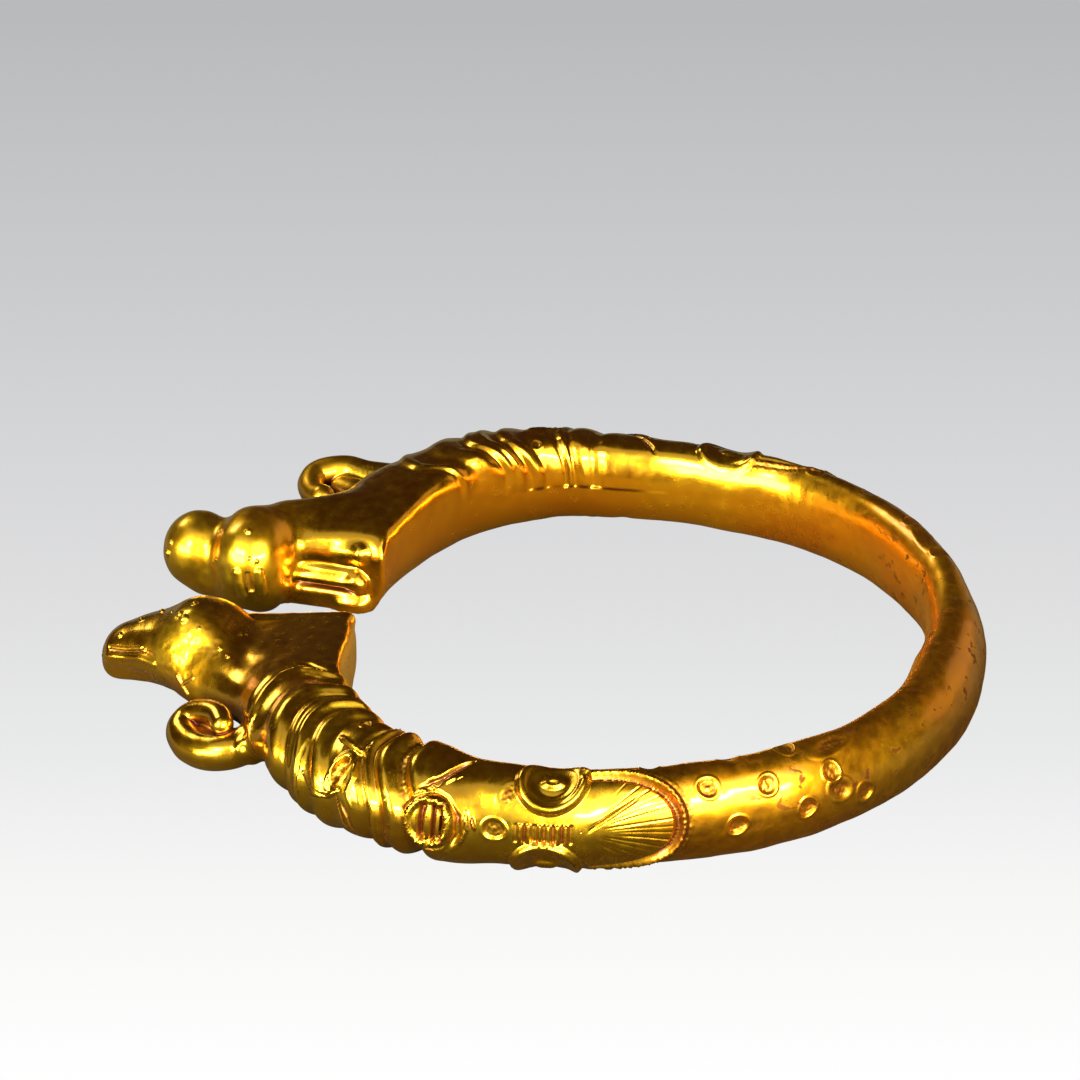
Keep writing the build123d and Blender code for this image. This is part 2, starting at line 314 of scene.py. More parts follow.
DISCS = [  # angle, radius, height, outer radius, rim half width, rim height, dish depth, boss radius
    (94.6, 34.3, 9.3, 3.6, 0.68, 0.4, 0.42, 0.8),
    (94.0, 36.6, 1.1, 3.55, 0.6, 0.36, 0.25, 0.9),
]
DISC_FADE = (0.9, 2.9, 0.85)  # a disc fades towards the edge of the section: from, to, share
DISC_OVAL = 1.04
DISC_BED = 0.4  # height inside the rim, by the rim's
BOSS_OVAL = (0.8, 1.3)
BOSS_HEIGHT, BOSS_DIMPLE = 0.3, 0.14
MIDDLE = 5  # height that parts the upper discs from the lower
SLATS = [90.7, 91.9, 93.5, 94.7, 96.0, 97.2]
SLAT_TOP, SLAT_FOOT = 6.5, 4.2
SLAT_SPOT = (94.0, 38.0)  # angle and radius in their middle
SLAT_HALF, SLAT_RISE = 0.42, 0.36
SLAT_BED = (0.16, 0.35)  # depth and roughness of the ground between them
SLAT_FADE = 0.15
FAN = (99.4, 36.9, 5.6)  # apex
FAN_REACH, FAN_HALF = 9.6, 6.0
FAN_BACK = (-0.5, 0.8)  # the fan begins over this stretch at its apex
FAN_ROPE = (0.0, 0.4, 0.42)  # ridges across its edge: place outwards, half width, height
FAN_BEADS = (61, 0.09)  # beads by the radian, share of the height
FAN_LIP = (0.6, 0.3, 0.04)
FAN_DITCH = (-0.7, 0.48, -0.5)
RAYS = 15
RAY_SPREAD = 1.15  # half angle of the rays
RAY_HALF = 0.17
RAY_DEPTHS, RAY_STARTS = (0.02, 0.055), (0.3, 3.0)
RAY_FADE = 1.5
SCORE = (0.62, 0.4, 1.18, 0.26, 0.17)  # long scratch: slope, shift, stretch, half width, depth
TOOL_MARKS = [  # ring punches: angle, radius, height, dish radius, depth, boss
    (87.0, 38.4, 5.6, 1.05, 0.26, 0.1),
    (118.8, 34.2, 8.4, 0.98, 0.26, 0.14),
    (123.0, 35.5, 4.6, 0.95, 0.36, 0.0),
    (128.3, 34.6, 7.7, 0.92, 0.28, 0.14),
    (134.4, 35.6, 4.9, 0.95, 0.38, 0.0),
    (139.4, 34.8, 7.3, 0.95, 0.28, 0.12),
    (145.2, 35.5, 4.3, 0.98, 0.24, 0.0),
    (110.2, 31.0, 9.0, 0.85, 0.24, 0.0),
    (123.8, 31.4, 9.1, 0.9, 0.26, 0.0),
    (133.9, 31.9, 9.1, 0.95, 0.26, 0.0),
]
FAR_MARKS = [
    (112.0, 33.0, 8.9, 0.9, 0.26, 0.1),
    (118.0, 35.0, 6.4, 0.9, 0.3, 0.0),
    (123.0, 33.4, 8.9, 0.9, 0.26, 0.1),
    (129.0, 35.4, 5.0, 0.9, 0.3, 0.0),
    (135.5, 33.4, 8.9, 0.95, 0.26, 0.1),
    (141.0, 34.6, 7.6, 0.9, 0.3, 0.0),
    (87.0, 36.6, 5.4, 1.0, 0.26, 0.1),
    (147.0, 33.2, 8.9, 0.9, 0.24, 0.0),
]
PUNCH_WALL = 0.32  # width of a punch's wall
PUNCH_LIP = (0.12, 0.24, 0.06)
PUNCH_BOSS = (0.0, 0.4, 0.6)
# Unevenness of the beaten metal: height, size, seed; and the grain of rough ground
UNEVEN = [(0.03, 6.0, 3), (0.012, 2.2, 4)]
GRAIN = (0.022, 0.55, 5)


def unevenness(p):
    return sum(height * waves(p, size, seed) for height, size, seed in UNEVEN)


def grain(p):
    height, size, seed = GRAIN
    return height * waves(p, size, seed)


def line_distance(fld, line):
    """Distance in the surface from a line of measured spots, and the share of the way along it."""
    pts = [(a, place(a, r, z), r) for a, r, z in line]
    best = np.full(len(fld.s), BEYOND)
    along = np.zeros(len(fld.s))
    for i, ((a0, s0, r0), (a1, s1, r1)) in enumerate(zip(pts, pts[1:])):
        x, y = (fld.angle - a0) * RAD * fld.r, fld.s - s0
        dx, dy = (a1 - a0) * RAD * (r0 + r1) / 2, s1 - s0
        t = np.clip((x * dx + y * dy) / (dx * dx + dy * dy), 0, 1)
        d = np.hypot(x - t * dx, y - t * dy)
        closer = d < best
        best = np.where(closer, d, best)
        along = np.where(closer, (i + t) / (len(pts) - 1), along)
    return best, along


def near(fld, angle, s, reach):
    return np.nonzero((np.abs(fld.angle - angle) * RAD * fld.r < reach) & (np.abs(fld.s - s) < reach))[0]


def spot(fld, angle, r, z, reach):
    """Points near a measured spot, with their distances from it along and across the hoop."""
    s0 = place(angle, r, z)
    k = near(fld, angle, s0, reach)
    return k, (fld.angle[k] - angle) * RAD * fld.r[k], fld.s[k] - s0


def part_of(fld, k):
    sub = Field.__new__(Field)
    for name in ("p", "side", "r", "angle", "s"):
        setattr(sub, name, getattr(fld, name)[k])
    return sub


def stamp_lines(h, fld, lines, sign):
    for half, size, line in lines:
        angles = [a for a, _, _ in line]
        k = np.nonzero((fld.angle > min(angles) - 4) & (fld.angle < max(angles) + 4))[0]
        if len(k) == 0:
            continue
        sub = part_of(fld, k)
        d, along = line_distance(sub, line)
        taper = step_up(-0.02, 0.22, along) * step_up(1.02, 0.8, along) * 0.75 + 0.25
        h[k] += sign * size * taper * bump(d, half * (0.65 + 0.35 * taper))


def neck_relief(h, rough, fld, right):
    """The neck swells between its ribs."""
    back = np.interp(fld.angle, NECK_RETURN[:, 0], NECK_RETURN[:, 1])
    segment = fld.angle + NECK_LEAN * step_up(*LEAN_RUN, fld.s) - back * step_up(*RETURN_RUN, fld.s)
    swell = hermite(NECK[:, 0], NECK[:, 1], segment)
    swell = swell * np.where(right | (fld.angle < FAR_NECK), 1, FAR_EASE)
    h += swell * step_up(*NECK_BELOW, fld.s) * step_up(*NECK_ABOVE, fld.s) * step_up(*NECK_START, fld.angle)
    band = right * BAND_ROUGHNESS * bump(segment - ROUGH_BAND[0], ROUGH_BAND[1])
    rough += band * step_up(*BAND_BELOW, fld.s) * step_up(*BAND_ABOVE, fld.s)


def hollow_relief(h, rough, fld):
    """Hollows with a low rim."""
    for angle, r, z, long, wide, turn, depth in HOLLOWS:
        k, x, y = spot(fld, angle, r, z, 3.5)
        c, s = math.cos(turn * RAD), math.sin(turn * RAD)
        d = np.hypot((c * x + s * y) / long, (-s * x + c * y) / wide)
        h[k] -= depth * (1 - step_up(*HOLLOW_WALL, d))
        h[k] += min(depth, 0.5) * ridge(d, HOLLOW_RIM)
        rough[k] += 1 - step_up(0.6, 1.1, d)


def loop_relief(h, rough, fld):
    """Oval loop with slits, on ground of its own."""
    angle, r, z, half_x, half_y = LOOP
    k, x, y = spot(fld, angle, r, z, 4.5)
    d = (np.hypot(x / half_x, y / half_y) - 1) * (half_x + half_y) / 2
    pad = step_up(0.35, 0.0, d)
    h[k] = h[k] * (1 - pad) + LOOP_PAD * pad
    rough[k] *= 1 - pad
    h[k] += ridge(d, LOOP_RIM) + LOOP_FLOOR * step_up(0.1, -0.6, d)
    for shift, half in LOOP_SLITS:
        bend = shift * (1 - SLIT_BEND * y * y)
        slit = bump(x - bend, half * 1.5) * step_up(half_y - 0.75, half_y - 1.2, np.abs(y))
        h[k] -= SLIT_DEPTH * slit
        rough[k] += slit
    h[k] += ridge(x, LOOP_BAR) * step_up(half_y - 0.5, half_y - 1.2, np.abs(y))


def disc_relief(h, rough, fld):
    """Dished discs with a boss, above and below the slats."""
    fade_from, fade_to, fade_share = DISC_FADE
    for angle, r, z, radius, half, rise, dish, boss in DISCS:
        k, x, y = spot(fld, angle, r, z, radius + 1.5)
        d = np.hypot(x, y * DISC_OVAL)
        fade = 1 - fade_share * step_up(fade_from, fade_to, y if z > MIDDLE else -y)
        rim = rise * bump(d - radius + half, half)
        h[k] += fade * (rim + rise * DISC_BED * step_up(radius, radius - 0.5, d))
        h[k] -= dish * step_up(radius - 2 * half + 0.2, radius - 2 * half - 0.9, d)
        lens = np.hypot(x * BOSS_OVAL[0], y * BOSS_OVAL[1])
        h[k] += BOSS_HEIGHT * step_up(boss + 0.25, boss - 0.35, lens) - BOSS_DIMPLE * bump(lens, boss * 0.55)
        rough[k] += 0.2 * step_up(boss + 0.3, boss, lens)


def slat_relief(h, rough, fld):
    """Slats in pairs between the discs."""
    angle, r = SLAT_SPOT
    top, foot = place(angle, r, SLAT_TOP), place(angle, r, SLAT_FOOT)
    k = near(fld, angle, (top + foot) / 2, 5.0)
    x, y = fld.angle[k], fld.s[k]
    window = step_up(foot - SLAT_FADE, foot + SLAT_FADE, y) * step_up(top + SLAT_FADE, top - SLAT_FADE, y)
    block = step_up(SLATS[0] - 1.2, SLATS[0] - 0.6, x) * step_up(SLATS[-1] + 1.2, SLATS[-1] + 0.6, x)
    depth, roughness = SLAT_BED
    h[k] -= depth * window * block
    rough[k] += roughness * window * block
    for slat in SLATS:
        h[k] += SLAT_RISE * window * bump((x - slat) * RAD * fld.r[k], SLAT_HALF)


def fan_relief(h, rough, fld):
    """Fan of fine rays with a beaded edge."""
    k, x, y = spot(fld, *FAN, FAN_REACH + 2.5)
    d = np.hypot(x / FAN_REACH, y / FAN_HALF)
    edge = (d - 1) * np.hypot(x, y) / np.maximum(d, 0.05)
    ahead = step_up(*FAN_BACK, x)
    turn = np.arctan2(y / FAN_HALF, x / FAN_REACH)
    beads, share = FAN_BEADS
    beading = 1 - share + share * np.sin(turn * beads + 1.6 * np.sin(turn * 9))
    h[k] += ahead * (ridge(edge, FAN_ROPE) * beading + ridge(edge, FAN_LIP) + ridge(edge, FAN_DITCH))
    rough[k] += ahead * bump(edge - 0.2, 0.9)
    field = ahead * step_up(-0.4, -1.0, edge)
    rng = np.random.default_rng(7)
    for i in range(RAYS):
        heading = -RAY_SPREAD + 2 * RAY_SPREAD * (i + rng.uniform(-0.25, 0.25)) / (RAYS - 1)
        ray = math.tan(heading * 0.92)
        off = (y - ray * x * FAN_HALF / FAN_REACH) / math.hypot(1, ray * FAN_HALF / FAN_REACH)
        start = rng.uniform(*RAY_STARTS)
        h[k] -= field * rng.uniform(*RAY_DEPTHS) * bump(off, RAY_HALF) * step_up(start, start + RAY_FADE, x)
    slope, shift, stretch, half, depth = SCORE
    score = bump((y - slope * x + shift) / stretch, half)
    h[k] -= field * depth * score * step_up(0.3, 1.6, x) * step_up(5.4, 4.4, x)


def punch_relief(h, rough, fld, right):
    """Ring punches, none of them quite round."""
    for marks, side in ((TOOL_MARKS, right), (FAR_MARKS, ~right)):
        for angle, r, z, radius, depth, boss in marks:
            k, x, y = spot(fld, angle, r, z, 2.4)
            own = side[k]
            k, x, y = k[own], x[own], y[own]
            d = np.hypot(x, y * (1 + 0.04 * math.sin(angle)))
            turn = np.arctan2(y, x)
            d = d * (1 + 0.05 * np.sin(2 * turn + angle) + 0.03 * np.sin(3 * turn + z))
            wall = step_up(radius, radius - PUNCH_WALL, d)
            h[k] -= depth * wall * (0.75 + 0.25 * step_up(radius * 0.9, 0, d))
            h[k] += ridge(d - radius, PUNCH_LIP) + boss * ridge(d, PUNCH_BOSS)
            rough[k] += 0.8 * step_up(radius, radius - 0.3, d)


def relief(fld):
    """Height of the relief over the plain outline, and the roughness of its ground."""
    h = np.zeros(len(fld.s))
    rough = np.zeros(len(fld.s))
    right = fld.side > 0
    neck_relief(h, rough, fld, right)
    stamp_lines(h, fld, GROOVES, -1)
    stamp_lines(h, fld, STRIPS, 1)
    hollow_relief(h, rough, fld)
    loop_relief(h, rough, fld)
    disc_relief(h, rough, fld)
    slat_relief(h, rough, fld)
    fan_relief(h, rough, fld)
    punch_relief(h, rough, fld, right)
    h = np.where(right, h, h * FAR_EASE)
    return h, np.clip(rough, 0, 1)


def hoop_surface(p):
    """Signed distance along the section's ray from the worked surface of the hoop."""
    fld = Field(p)
    h, rough = relief(fld)
    h += unevenness(p)
    h += rough * grain(p)
    return fld.plain - h


def smooth_min(a, b, k):
    h = np.clip(0.5 + 0.5 * (b - a) / k, 0, 1)
    return b + (a - b) * h - k * h * (1 - h)


def smooth_max(a, b, k):
    return -smooth_min(-a, -b, k)


def rod(p, a, b, ra, rb, squash=(1, 1, 1)):
    """Rod from a to b with a radius at each end, in space stretched by squash."""
    w = np.array(squash)
    a, b = np.array(a, float) / w, np.array(b, float) / w
    pa, ba = p / w - a, b - a
    t = np.clip(pa @ ba / (ba @ ba), 0, 1)
    return (length(pa - t[:, None] * ba) - (ra + (rb - ra) * t)) * min(squash)


def tube(p, points):
    """Smooth tube through points (x, y, z, radius); far from it only a safe distance is given."""
    points = np.array(points)
    share = np.arange(len(points))
    fine = np.linspace(0, len(points) - 1, 6 * (len(points) - 1) + 1)
    path = np.column_stack([hermite(share, points[:, i], fine) for i in range(4)])
    low, high = path[:, :3].min(axis=0) - 4, path[:, :3].max(axis=0) + 4
    value = np.full(len(p), 2.0)
    k = np.nonzero(np.all((p > low) & (p < high), axis=1))[0]
    near_p = p[k]
    best = np.full(len(k), 2.0)
    for a, b in zip(path, path[1:]):
        best = np.minimum(best, rod(near_p, a[:3], b[:3], a[3], b[3]))
    value[k] = best
    return value


CAP_POWER = 2.6  # squareness of a loft's rounded front


def loft(p, rows, power):
    """Closed shape of superellipses along Y, round at its front.

    The rows give y, centre x, centre z, half width and half height.
    """
    rows = np.array(rows)
    y = p[:, 1]
    cx, cz, a, b = (hermite(rows[:, 0], rows[:, i], y) for i in (1, 2, 3, 4))
    front = np.clip((rows[1, 0] - y) / (rows[1, 0] - rows[0, 0]), 0, 1)
    cap = np.clip(1 - front**CAP_POWER, 0.0004, 1) ** (1 / CAP_POWER)
    a, b = a * cap, b * cap
    g = (np.abs((p[:, 0] - cx) / a) ** power + np.abs((p[:, 2] - cz) / b) ** power) ** (1 / power)
    value = (g - 1) * np.minimum(a, b)
    return np.maximum(value, np.maximum(rows[0, 0] - y, y - rows[-1, 0]))


def lump(p, centre, radii, power=2.0):
    """Rounded lump, boxier with a higher power."""
    q = np.abs(p - np.array(centre)) / np.array(radii)
    g = np.sum(q ** power, axis=1) ** (1 / power)
    return (g - 1) * min(radii)


# Heads and horns, in the mirrored frame where x runs away from the middle plane
RIGHT_HEAD = [  # y, centre x, centre z, half width, half height
    (-48.83, 11.7, 2.6, 2.6, 2.5),
    (-46.6, 11.5, 3.05, 3.0, 2.85),
    (-45.4, 11.4, 3.4, 3.3, 3.1),
    (-44.2, 11.4, 3.75, 3.7, 3.3),
    (-43.0, 11.5, 4.05, 4.0, 3.55),
    (-41.8, 11.7, 4.4, 4.4, 3.95),
    (-40.6, 11.9, 4.75, 4.95, 4.4),
    (-39.4, 12.1, 4.8, 5.6, 4.75),
    (-38.2, 12.3, 4.75, 6.15, 4.75),
    (-37.0, 12.5, 4.6, 6.5, 4.55),
    (-35.8, 12.7, 4.3, 6.5, 4.15),
    (-34.6, 13.0, 3.95, 6.2, 3.65),
    (-33.2, 13.6, 3.6, 5.6, 3.25),
    (-31.0, 14.6, 3.5, 5.0, 3.1),
]
HEAD_POWER = 2.1
CHEEK_FACE = ((0.82, -0.06, 0.57), 19.75)  # the cheek is flattened towards this direction, at this reach
CHEEK_BLEND = 1.4
# Left head: centre, radii, squareness
LEFT_SKULL = ((6.2, -39.1, 4.85), (5.0, 3.9, 4.8), 2.35)
LEFT_MUZZLE = ((6.75, -45.05, 4.5), (3.75, 3.55, 3.9), 2.05)
LEFT_FEET = [((7.9, -32.6, 0.6), (1.75, 5.3, 1.6), 4.0), ((7.6, -29.4, 0.4), (1.8, 1.8, 1.0), 3.0)]
# Rods: from, to, radii, squash
LEFT_JAW = ((6.0, -43.6, 2.3), (4.9, -38.0, 2.35), 2.1, 2.3)
NAPE = ((15.8, -36.2, 4.5), (20.6, -30.2, 4.3), 2.0, 2.3)
LINK = {  # from the head to the neck
    True: ((13.6, -36.0, 3.8), (16.8, -30.0, 3.8), 3.0, 3.0, (1.4, 1, 1)),
    False: ((10.3, -36.6, 5.1), (13.4, -31.0, 5.0), 3.7, 3.7, (1.1, 1, 1)),
}
HORN = {  # x, y, z, radius
    True: [(22.6, -27.4, 4.4, 1.9), (24.3, -28.6, 3.9, 1.92), (25.4, -29.6, 3.4, 1.85),
           (26.1, -30.8, 2.9, 1.82), (26.5, -32.3, 2.5, 1.8), (26.3, -34.0, 2.2, 1.8),
           (25.3, -35.8, 2.2, 1.74), (23.8, -36.9, 2.5, 1.66), (22.7, -36.7, 3.1, 1.5),
           (22.5, -35.8, 3.9, 1.38), (23.1, -34.4, 4.6, 1.28), (24.1, -33.2, 4.9, 1.2),
           (25.4, -32.4, 4.9, 1.1)],
    False: [(24.6, -28.0, 4.0, 2.0), (25.6, -30.1, 4.0, 1.95), (25.6, -31.8, 4.0, 1.85),
            (25.8, -33.7, 4.1, 1.72), (26.0, -35.5, 4.4, 1.6), (25.5, -37.2, 4.4, 1.5),
            (24.6, -38.4, 4.2, 1.42), (22.9, -38.5, 4.0, 1.35), (21.2, -37.6, 4.0, 1.3),
            (20.3, -36.5, 4.3, 1.32)],
}
WEBS = {  # metal left in the horn's curl
    True: [((24.3, -34.6, 2.7), (24.0, -33.6, 2.8), 1.0, 1.0),
           ((24.3, -33.4, 2.0), (23.4, -31.6, 2.5), 0.75, 0.9)],
    False: [((23.6, -35.0, 3.4), (20.0, -30.5, 3.9), 1.7, 2.4)],
}
BARS = {  # mouldings on the end faces
    True: [((7.0, -25.6, 6.95), (7.6, -31.0, 6.1), 0.95, 0.9),
           ((7.6, -31.0, 6.1), (8.0, -34.6, 6.1), 0.9, 0.8),
           ((7.1, -26.0, 3.2), (7.6, -34.6, 3.2), 0.8, 0.7)],
    False: [((6.6, -28.9, 3.05), (6.2, -37.0, 3.4), 0.6, 0.55),
            ((7.0, -28.9, 3.8), (6.6, -37.0, 4.15), 0.6, 0.55),
            ((6.8, -28.5, 3.0), (6.8, -28.9, 3.2), 0.95, 0.95),
            ((7.5, -28.6, 6.0), (8.0, -31.0, 5.8), 1.0, 0.7)],
}
TOP_SLOPE = (8.0, 0.17, 0.1)  # top of the right end: height at the corner of the gap, rise along Y and X
TOP_CORNER = (7, -25.2)
TOP_BLEND = 0.4
BEVEL = (0.707, 0.35, 0.9)  # left end's inner edge: slant, depth, blend
GAP_BLEND, FOOT_BLEND, JAW_BLEND, LINK_BLEND, NAPE_BLEND = 0.5, 0.5, 1.4, 1.6, 1.4
MUZZLE_BLEND, BAR_BLEND, HORN_BLEND, WEB_BLEND = 1.6, 0.5, 0.5, 0.4
HEAD_BLEND = {True: 1.8, False: 1.3}


def plain_end(p, right):
    """One end without its fine work: neck, head, horn and mouldings. p is mirrored on the left."""
    fld = Field(p if right else p * MIRROR)
    neck = smooth_max(fld.plain, HALF_GAP - p[:, 0], GAP_BLEND)
    if right:
        height, rise_y, rise_x = TOP_SLOPE
        top = height + rise_y * (p[:, 1] - TOP_CORNER[1]) + rise_x * (p[:, 0] - TOP_CORNER[0])
        neck = smooth_max(neck, p[:, 2] - top, TOP_BLEND)
        facing, reach = CHEEK_FACE
        head = smooth_max(loft(p, RIGHT_HEAD, HEAD_POWER), p @ np.array(facing) - reach, CHEEK_BLEND)
    else:
        slant, depth, blend = BEVEL
        neck = smooth_max(neck, (p[:, 2] - p[:, 0]) * slant + depth, blend)
        for foot in LEFT_FEET:
            neck = smooth_min(neck, lump(p, *foot), FOOT_BLEND)
        head = smooth_min(lump(p, *LEFT_SKULL), lump(p, *LEFT_MUZZLE), MUZZLE_BLEND)
        head = smooth_min(head, rod(p, *LEFT_JAW), JAW_BLEND)
    total = smooth_min(neck, rod(p, *LINK[right]), LINK_BLEND)
    total = smooth_min(total, head, HEAD_BLEND[right])
    if right:
        total = smooth_min(total, rod(p, *NAPE), NAPE_BLEND)
    for bar in BARS[right]:
        total = smooth_min(total, rod(p, *bar), BAR_BLEND)
    total = smooth_min(total, tube(p, HORN[right]), HORN_BLEND)
    for web in WEBS[right]:
        total = smooth_min(total, rod(p, *web), WEB_BLEND)
    return total, fld


def gradient(f, p, e):
    g = np.empty_like(p)
    for i in range(3):
        d = np.zeros(3)
        d[i] = e
        g[:, i] = (f(p + d) - f(p - d)) / (2 * e)
    return g


def unit(v):
    return v / np.maximum(length(v), 1e-6)[:, None]


def pull(surface, p, reach):
    """One step of the points p onto a surface, no further than reach."""
    g = gradient(surface, p, 0.01)
    steep = np.maximum(np.einsum("ij,ij->i", g, g), 0.4)
    return p - (np.clip(surface(p), -reach, reach) / steep)[:, None] * g


def seat(points, right):
    """Measured spots drawn onto the plain surface, with the surface's normals."""
    def plain(q):
        return plain_end(q, right)[0]

    p = np.array(points, float)
    for _ in range(6):
        g = gradient(plain, p, 0.02)
        p = p - (np.clip(plain(p), -1, 1) / np.maximum(length(g), 0.3) ** 2)[:, None] * g
    return p, unit(gradient(plain, p, 0.02))


# Fine work on the heads. Beads: x, y, z, radius. Lines: half width, rise (below 0 cuts in), points
BEADS = {
    True: [(11.5, -44.9, 6.5, 0.34), (12.9, -46.7, 5.4, 0.36), (10.6, -43.1, 7.2, 0.38),
           (13.9, -39.7, 8.8, 0.5), (13.2, -40.2, 8.6, 0.36), (11.9, -39.3, 9.4, 0.4),
           (14.6, -43.4, 5.2, 0.24), (16.3, -36.8, 3.2, 0.36), (16.4, -37.6, 2.6, 0.4),
           (14.6, -44.0, 5.4, 0.18), (16.6, -35.0, 4.6, 0.26), (14.6, -38.0, 8.3, 0.2),
           (12.2, -41.6, 8.3, 0.2), (15.6, -35.6, 6.6, 0.2), (13.4, -34.6, 7.2, 0.2),
           (13.1, -34.0, 7.0, 0.16)],
    False: [(2.9, -41.5, 6.0, 0.26), (3.1, -42.0, 5.6, 0.24), (4.0, -38.9, 8.3, 0.34),
            (4.4, -47.0, 6.2, 0.3), (4.2, -47.3, 5.2, 0.42), (5.0, -42.2, 7.9, 0.3),
            (1.8, -38.2, 7.2, 0.2), (1.7, -37.4, 7.0, 0.2)],
}
BEAD_SINK = 0.35  # share of a bead's radius that is sunk in
BEAD_BLEND = 0.1
LINES = {
    True: [
        (0.5, 0.34, [(13.9, -47.6, 3.6), (14.8, -45.8, 4.1), (15.0, -44.2, 4.5), (15.4, -42.2, 4.5)]),
        (0.34, -0.3, [(13.7, -47.6, 4.4), (14.4, -45.8, 4.9), (14.6, -44.2, 5.3), (15.2, -42.4, 5.3)]),
        (0.3, 0.34, [(16.6, -39.2, 4.4), (16.8, -37.6, 3.4), (16.4, -36.4, 2.4)]),
        (0.3, 0.34, [(16.4, -36.4, 2.4), (16.9, -35.3, 3.2), (17.0, -34.6, 4.0)]),
        (0.2, 0.18, [(16.9, -38.4, 3.9), (17.0, -37.2, 4.6)]),
        (1.2, -0.34, [(13.9, -47.2, 2.2), (14.6, -45.6, 2.2), (14.8, -43.8, 2.4)]),
    ],
    False: [
        (0.34, -0.6, [(1.5, -38.3, 5.6), (1.4, -38.2, 4.9), (1.5, -38.0, 3.9)]),
        (0.6, 0.34, [(1.7, -39.4, 5.6), (1.5, -39.2, 4.6), (1.7, -38.9, 3.2)]),
        (0.6, 0.34, [(1.8, -37.3, 5.8), (1.6, -37.0, 4.6), (1.9, -37.0, 3.4)]),
    ],
}
CHEEK = (15.9, -39.0, 6.2)  # middle of the hammered right cheek
CHEEK_BOX = ((13.0, 17.0), (-41.8, -35.5), (4.2, 8.2))  # where its dents lie
HAMMER = 110  # dents on it
DENT_SIZES, DENT_DEPTHS = (0.3, 0.65), (0.008, 0.024)
rng = np.random.default_rng(21)
cheek = np.column_stack([rng.uniform(low, high, HAMMER) for low, high in CHEEK_BOX])


class Fine:
    """Fine work of one end, seated on its plain surface."""

    def __init__(self, right):
        spots, normals = seat([b[:3] for b in BEADS[right]], right)
        self.beads = [(c - n * BEAD_SINK * b[3], b[3]) for b, c, n in zip(BEADS[right], spots, normals)]
        self.lines = [(half, rise, seat(points, right)[0]) for half, rise, points in LINES[right]]
        self.dents = []
        if right:
            spots, _ = seat(cheek, right)
            sizes = rng.uniform(*DENT_SIZES, HAMMER)
            depths = rng.uniform(*DENT_DEPTHS, HAMMER)
            self.dents = list(zip(spots, sizes, depths))

    def work(self, p):
        """Height of the fine work over the plain surface at p."""
        h = np.zeros(len(p))
        for half, rise, points in self.lines:
            d = np.full(len(p), BEYOND)
            for a, b in zip(points, points[1:]):
                d = np.minimum(d, rod(p, a, b, 0, 0))
            h += rise * bump(d, half)
        for c, size, depth in self.dents:
            k = np.nonzero(np.abs(p[:, 0] - c[0]) + np.abs(p[:, 1] - c[1]) < 2)[0]
            d = length(p[k] - c)
            h[k] -= depth * np.clip(1 - (d / size) ** 2, 0, 1)
        return h


FINE = {True: Fine(True), False: Fine(False)}
ORNAMENT_START = (30.0, 36.0)  # angles over which the ornament begins
ORNAMENT_REACH = (2.2, 0.8)  # distances from the plain hoop over which it sets in


def ornament_share(total, fld):
    """Share of the ornament at points: all of it on the hoop's own surface, none on the head and horn."""
    return step_up(*ORNAMENT_START, fld.angle) * step_up(*ORNAMENT_REACH, np.abs(total - fld.plain))


def end_surface(p, right):
    """Signed distance from the finished end of one side, in the mirrored frame."""
    total, fld = plain_end(p, right)
    h, rough = relief(fld)
    ornament = ornament_share(total, fld)
    fine = FINE[right]
    total = total - h * ornament - fine.work(p)
    for c, radius in fine.beads:
        total = smooth_min(total, length(p - c) - radius, BEAD_BLEND)
    total -= unevenness(fld.p)
    total -= ornament * rough * grain(fld.p)
    return total


def surface_net(values, low, step, shape):
    """Quads of the zero surface of a lattice of values."""
    inside = values < 0
    cells = tuple(n - 1 for n in shape)
    total = np.zeros(cells + (3,))
    count = np.zeros(cells)
    quads = []
    number = np.arange(np.prod(cells)).reshape(cells)
    for axis in range(3):
        a = [slice(None)] * 3
        b = [slice(None)] * 3
        a[axis], b[axis] = slice(0, -1), slice(1, None)
        a, b = tuple(a), tuple(b)
        cross = np.argwhere(inside[a] != inside[b])
        f0, f1 = values[a][tuple(cross.T)], values[b][tuple(cross.T)]
        point = cross.astype(float)
        point[:, axis] += f0 / (f0 - f1)
        others = [i for i in range(3) if i != axis]
        ok = np.ones(len(cross), bool)
        for o in others:
            ok &= (cross[:, o] > 0) & (cross[:, o] < shape[o] - 1)
        cross, point, f0 = cross[ok], point[ok], f0[ok]
        ring = []
        for du, dv in ((0, 0), (1, 0), (1, 1), (0, 1)):
            c = cross.copy()
            c[:, others[0]] -= du
            c[:, others[1]] -= dv
            np.add.at(total, tuple(c.T), point)
            np.add.at(count, tuple(c.T), 1)
            ring.append(number[tuple(c.T)])
        ring = np.stack(ring, axis=1)
        flip = (f0 < 0) if axis == 1 else (f0 >= 0)
        ring[flip] = ring[flip][:, ::-1]
        quads.append(ring)
    quads = np.concatenate(quads)
    used, quads = np.unique(quads, return_inverse=True)
    quads = quads.reshape(-1, 4)
    where = total.reshape(-1, 3)[used] / count.reshape(-1)[used][:, None]
    return where * step + low, quads


BOX_LOW, BOX_HIGH = (np.array(corner, float) / MM for corner in cad_box)
BOX_CLEAR = 0.01


def show(name, data):
    """Object of the given data, in the scene."""
    thing = bpy.data.objects.new(name, data)
    bpy.context.scene.collection.objects.link(thing)
    return thing


